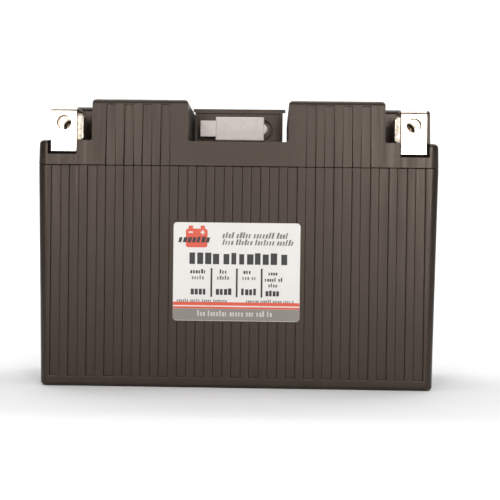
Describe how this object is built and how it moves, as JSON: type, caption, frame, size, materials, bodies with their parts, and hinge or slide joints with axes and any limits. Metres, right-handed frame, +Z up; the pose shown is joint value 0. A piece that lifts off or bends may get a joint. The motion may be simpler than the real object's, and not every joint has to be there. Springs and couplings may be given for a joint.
{
  "type": "motorcycle battery",
  "caption": "Sealed starter battery with a ribbed case, notched lid, folded-strip terminals with loose square nuts, and a capped charge port.",
  "frame": {"origin": "middle of the base", "axes": "+X along the long side, the front with the label and terminals faces -Y, +Z up"},
  "size_m": [0.148, 0.066, 0.1064],
  "materials": {
    "housing_plastic": "warm dark grey moulded plastic, fine satin texture",
    "terminal_plate": "bright nickel plate",
    "nut_steel": "bright plated steel",
    "cap_rubber": "light warm grey soft rubber",
    "connector_plastic": "off-white nylon",
    "pin_brass": "tinned brass",
    "label_paper": null,
    "adhesive": "cured black adhesive",
    "cell_pouch": "aluminium laminate pouch",
    "foam": "closed-cell foam",
    "bus_brass": "copper alloy strip",
    "board": "green circuit board",
    "chip_plastic": "black moulded components",
    "wire_rubber": "insulated wire"
  },
  "bodies": {
    "battery": {"case": "housing_plastic", "lid": "housing_plastic", "lid_bond_bead": "adhesive", "port_housing": "housing_plastic", "port_socket": "connector_plastic", "port_pins": "pin_brass", "positive_terminal": "terminal_plate", "negative_terminal": "terminal_plate", "front_label": "label_paper", "rear_label": "label_paper", "cell_1": "cell_pouch", "cell_2": "cell_pouch", "cell_3": "cell_pouch", "cell_4": "cell_pouch", "separator_1": "foam", "separator_2": "foam", "separator_3": "foam", "base_pad": "foam", "bus_bar_1": "bus_brass", "bus_bar_2": "bus_brass", "bus_bar_3": "bus_brass", "positive_lead": "bus_brass", "negative_lead": "bus_brass", "balance_board": "board", "balance_chip": "chip_plastic", "balance_resistors": "chip_plastic", "port_wires": "wire_rubber", "sense_wires": "wire_rubber"},
    "positive_nut": {"positive_terminal_nut": "nut_steel"},
    "negative_nut": {"negative_terminal_nut": "nut_steel"},
    "dust_cap": {"port_dust_cap": "cap_rubber"}
  },
  "joints": [
    {"name": "positive_nut_slide", "type": "slide", "parent": "battery", "child": "positive_nut", "axis": [-1, 0, 0], "range_m": [-0.0033, 0.0175]},
    {"name": "negative_nut_slide", "type": "slide", "parent": "battery", "child": "negative_nut", "axis": [1, 0, 0], "range_m": [-0.0033, 0.0175]},
    {"name": "dust_cap_pull", "type": "slide", "parent": "battery", "child": "dust_cap", "axis": [0, -1, 0], "range_m": [0, 0.01]}
  ]
}
